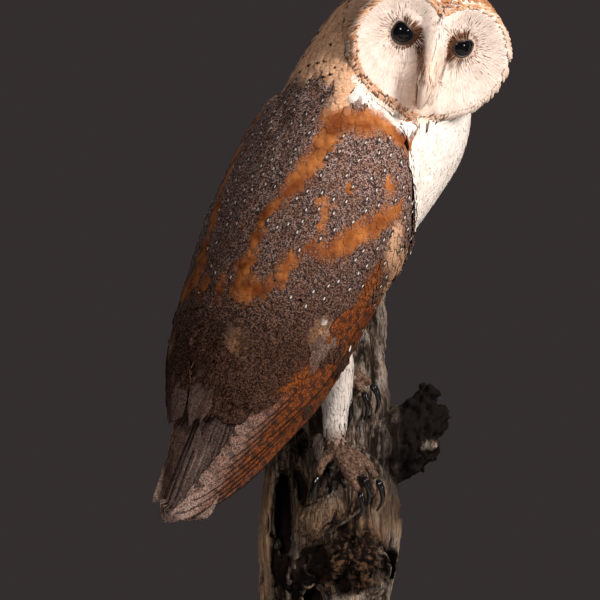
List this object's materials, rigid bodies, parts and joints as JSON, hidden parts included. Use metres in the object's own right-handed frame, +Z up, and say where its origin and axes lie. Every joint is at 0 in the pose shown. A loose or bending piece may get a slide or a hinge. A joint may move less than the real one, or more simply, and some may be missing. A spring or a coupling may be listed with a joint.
{
  "type": "taxidermy barn owl",
  "caption": "Life-size taxidermy barn owl perched on a weathered tree stump, its wings folded, looking back over its right shoulder, on a round wooden stand.",
  "frame": {"origin": "middle of the underside of the round stand, at floor level", "axes": "+Z up; the display side, with the bird's back, right wing and turned face, looks along -Y; +X is to the right of a person who looks at that side"},
  "size_m": [0.2052, 0.2154, 0.4095],
  "materials": {
    "plumage": "feathers over skin, matt",
    "bill_horn": "pale horn, satin",
    "eye_glass": "opaque black glass eyes, polished",
    "toe_skin": "dry scaly skin, matt",
    "claw_horn": "black horn, glossy",
    "driftwood": "weathered and partly rotten, matt",
    "dark_bark": "dark weathered wood, matt",
    "stand_wood": "turned, waxed"
  },
  "bodies": {
    "root": {"head": "plumage", "neck": "plumage", "trunk": "plumage", "tail": "plumage", "bill": "bill_horn", "eye_right": "eye_glass", "eye_left": "eye_glass", "wing_right": "plumage", "wing_left": "plumage", "leg_right": "plumage", "leg_left": "plumage", "foot_right": "toe_skin", "foot_left": "toe_skin", "claw_right_1": "claw_horn", "claw_right_2": "claw_horn", "claw_right_3": "claw_horn", "claw_right_4": "claw_horn", "claw_left_1": "claw_horn", "claw_left_2": "claw_horn", "claw_left_3": "claw_horn", "claw_left_4": "claw_horn", "stump": "driftwood", "stump_branch": "dark_bark", "stand_base": "stand_wood"}
  },
  "joints": []
}
